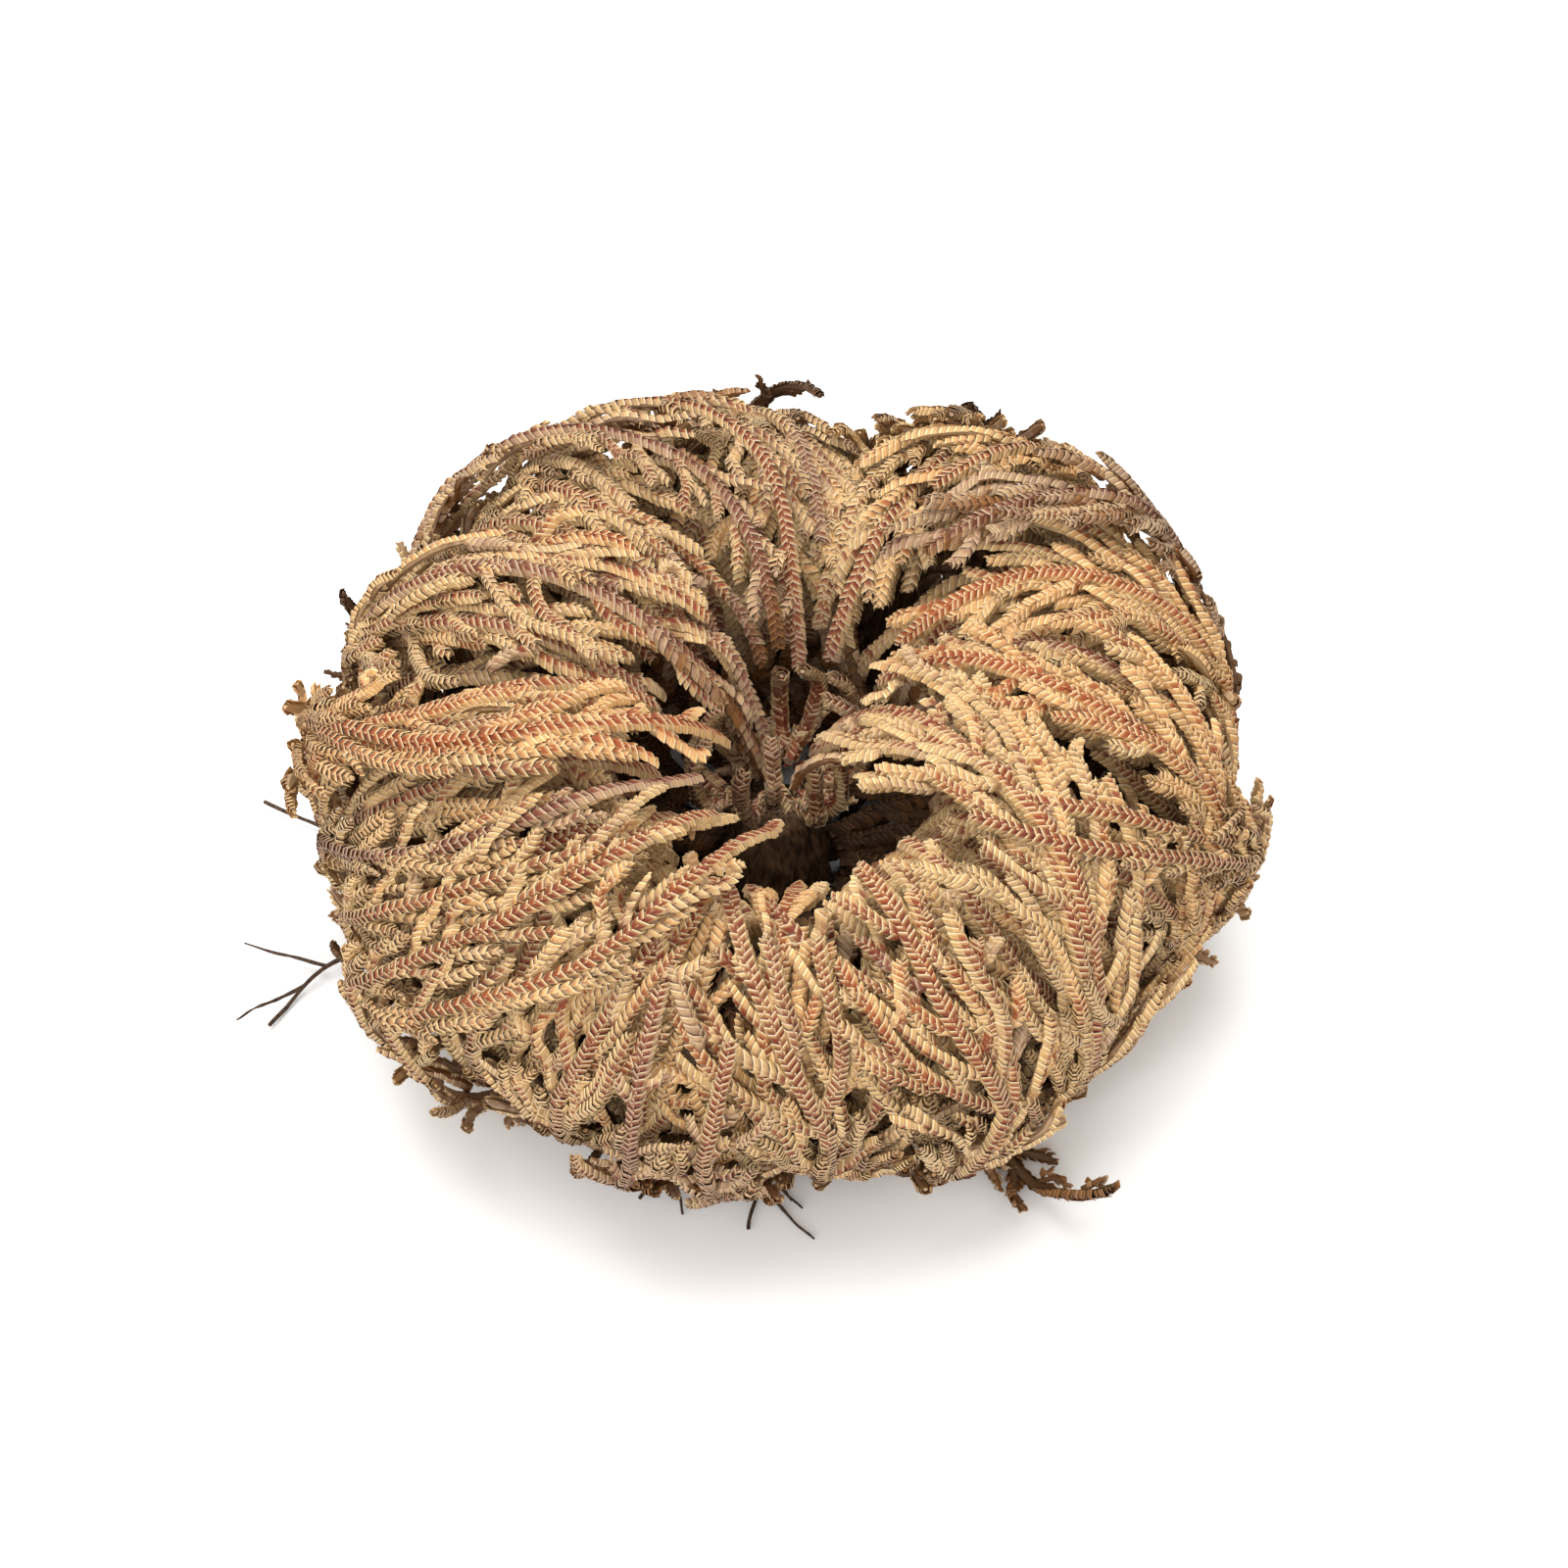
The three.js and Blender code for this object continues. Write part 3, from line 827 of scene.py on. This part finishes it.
def make_fronds(leaf):
    """All the fronds of the roll. The old ones are given back unfinished, for their feet."""
    old_fronds = []
    for kind, level, slot, table, usual in LEVELS:
        for i, (azimuth, drift, tip, changes) in enumerate(table):
            habit = Habit(**{**usual, **changes})
            course = rolled_course(level, azimuth, drift, tip, splay=habit.splay)
            piece = Piece()
            grow_frond(piece, course, habit)
            name = f"{kind}_frond_{i + 1:02d}"
            if kind == "old":
                old_fronds.append((piece, course, name))
            else:
                piece.finish(f"{name}_spray", leaf, name, slot)
    # The core rolls on like a watch spring, and little of it is seen.
    for i in range(CORE_COUNT):
        azimuth = 24 + i * 360 / CORE_COUNT
        course = rolled_course(CORE_LEVEL, azimuth, 16, 450, curl=6, past=5)
        piece = Piece()
        habit = Habit(
            wide=20, tone="straw", spacing=4.8, width=1.15, flip=26, branch=(14, 24), sink=0.6,
            branchlet=(5, 9), lift=1.5, twigs=(8, 12), start=6, mains=(-13.0, 0.0, 13.0),
            leafy_to=245.0,
        )
        grow_frond(piece, course, habit)
        name = f"core_frond_{i + 1:02d}"
        piece.finish(f"{name}_spray", leaf, name, "russet_frond")
    return old_fronds


def finish_old_fronds(old_fronds, leaf):
    """Lays short dead cords across each old frond's foot, over the floor beneath the hollow."""
    for piece, course, name in old_fronds:
        foot = Habit(
            tone="dead", red=0.2, width=0.72, weather=0.0, base_age=0.0, lift=-0.8, mains=(),
            strays=8, start=FOOT_FROM - STRAYS_FROM, short=course.length - FOOT_TO - STRAYS_TO,
        )
        grow_frond(piece, course, foot)
        piece.finish(f"{name}_spray", leaf, name, "old_frond")


def make_buds(leaf):
    """Young fronds on the crown: two short stems each, with branchlets pressed to them."""
    for i in range(BUD_COUNT):
        piece = Piece()
        habit = Habit(
            wide=4.0, tone="sandy", red=0.9, start=0.5, spacing=2.2, branch=(5, 9),
            branchlet=(2.5, 5), weather=0.0, width=0.95, sink=0.4, base_age=0.0, loose=0.2,
            mains=(-24.0, 24.0), both_sides=True,
        )
        grow_frond(piece, bud_course(15 + i * 360 / BUD_COUNT), habit)
        name = f"bud_frond_{i + 1:02d}"
        piece.finish(f"{name}_spray", leaf, name, "straw_frond")


# Each root's azimuth, how far from the axis it ends, and its sway in degrees.
ROOTS = [(355, 40, 1), (343, 39, -3), (70, 42, 8), (271, 53, 15), (260, 56, -5)]
ROOT_START_HEIGHT = 1.6
ROOT_STEPS = 90
ROOT_SIDES = 8
FORK_COUNT = 4
FORK_STEP = 0.28  # from one point of a fork's path to the next


def make_roots(skin):
    """Wiry roots on the floor: a tapering crooked tube each, with forks near its end.

    A root runs out from the crown and bends sideways with the cube of its length.
    """
    up = np.array([[0.0, 0.0, 1.0]])

    def wire(piece, places, thick, thin):
        """A round tube that tapers from thick to thin, a little uneven."""
        along = np.gradient(places, axis=0)
        along /= np.linalg.norm(along, axis=1, keepdims=True)
        side = np.cross(along, up)
        side /= np.linalg.norm(side, axis=1, keepdims=True)
        n = len(places)
        radius = np.linspace(thick, thin, n) * (1 + wave(np.arange(n), 3, 0.12))
        radius = np.clip(radius, thin * 0.8, ROOT_RADIUS * 1.1)
        piece.tube(places, side, np.cross(side, along), radius, radius, ROOT_SIDES)

    for i, (azimuth, end, sway) in enumerate(ROOTS):
        piece = Piece()
        share = np.linspace(0, 1, ROOT_STEPS)
        reach = FOOT_RADIUS + ROOT_RADIUS + (end - FOOT_RADIUS - ROOT_RADIUS) * share
        a = np.radians(azimuth + sway * share**3) + wave(reach, 6, 0.35) / reach
        height = ROOT_RADIUS + (ROOT_START_HEIGHT - ROOT_RADIUS) * (1 - share) ** 6
        height = height + np.abs(wave(reach, 9, 0.5)) * share
        places = np.stack([reach * np.sin(a), -reach * np.cos(a), height], 1)
        wire(piece, places, ROOT_RADIUS, ROOT_RADIUS * 0.45)
        for fork in random.uniform(0.55, 0.92, FORK_COUNT):
            k = int(fork * (ROOT_STEPS - 1))
            n = int(random.uniform(16, 34))
            turn = a[k] + random.choice([-1, 1]) * math.radians(random.uniform(22, 40))
            along = np.arange(n) * FORK_STEP
            way = np.array([[math.sin(turn), -math.cos(turn), 0.0]])
            branch = places[k] + way * along[:, None]
            for axis in (0, 1):
                branch[:, axis] += wave(along, 3, 0.25) * np.linspace(0, 1, n)
            wire(piece, branch, ROOT_RADIUS * 0.5, ROOT_RADIUS * 0.25)
        name = f"root_{i + 1:02d}"
        piece.finish(f"{name}_wire", skin, name, "root", smooth_angle=80, leafy=False)


# The crown's profile: the height and the radius, as shares of its own.
CROWN_PROFILE = np.array(
    [(0, 0.72), (0.12, 0.94), (0.36, 1.0), (0.7, 0.92), (0.92, 0.62), (0.98, 0.3), (1.0, 0.0)]
)
CROWN_SKIN = 0.25  # room for the ribs inside the crown's radius
CROWN_ROWS = 70
CROWN_COLUMNS = 96


def make_crown(bark):
    """The crown: a woody lathe shape with a lumpy, ribbed skin, closed at its foot and top.

    Its radius follows the profile, times one plus ribs round it and lumps up it.
    """
    rows, columns = CROWN_ROWS, CROWN_COLUMNS
    share = np.linspace(0, 1, rows)
    around = np.arange(columns) * 2 * np.pi / columns
    radius = np.interp(share, CROWN_PROFILE[:, 0], CROWN_PROFILE[:, 1]) * (CROWN_RADIUS - CROWN_SKIN)
    s, a = np.meshgrid(share, around, indexing="ij")
    ribs = 0.035 * np.sin(17 * a + 5 * np.sin(6 * s)) + 0.03 * np.sin(29 * s + 3 * np.sin(3 * a))
    ribs += 0.02 * np.sin(41 * a - 9 * s)
    ribs *= np.clip(s * 14, 0, 1)
    reach = radius[:, None] * (1 + ribs)
    grid = np.stack([reach * np.sin(a), -reach * np.cos(a), s * CROWN_HEIGHT], -1).reshape(-1, 3)

    # Rings of points with bands of faces between them, and a fan round the points at both ends.
    ring = np.arange(columns)
    next_on_ring = (ring + 1) % columns
    bands = np.arange(rows - 2)[:, None] * columns
    p, q = (bands + ring).ravel(), (bands + next_on_ring).ravel()
    last_ring = (rows - 2) * columns
    top = (rows - 1) * columns
    faces = np.concatenate([
        np.stack([p, q, q + columns], -1),
        np.stack([last_ring + ring, last_ring + next_on_ring, np.full(columns, top)], -1),
        np.stack([p, q + columns, p + columns], -1),
        np.stack([np.full(columns, top + 1), next_on_ring, ring], -1),
    ])
    points = np.concatenate([grid[: top + 1], [[0.0, 0.0, 0.0]]])
    piece = Piece()
    piece.add(points, faces, np.zeros((len(points), 2)))
    piece.finish("crown_stem", bark, "crown", "bark", leafy=False)


leaf = dry_leaf_material()
old_fronds = make_fronds(leaf)
make_buds(leaf)
make_crown(fibrous_material("woody_crown_bark", "#2C1D12", "#70543A", 0.5, 5))
make_roots(fibrous_material("wiry_root_skin", "#231A15", "#5A4436", 0.35, 1))
finish_old_fronds(old_fronds, leaf)
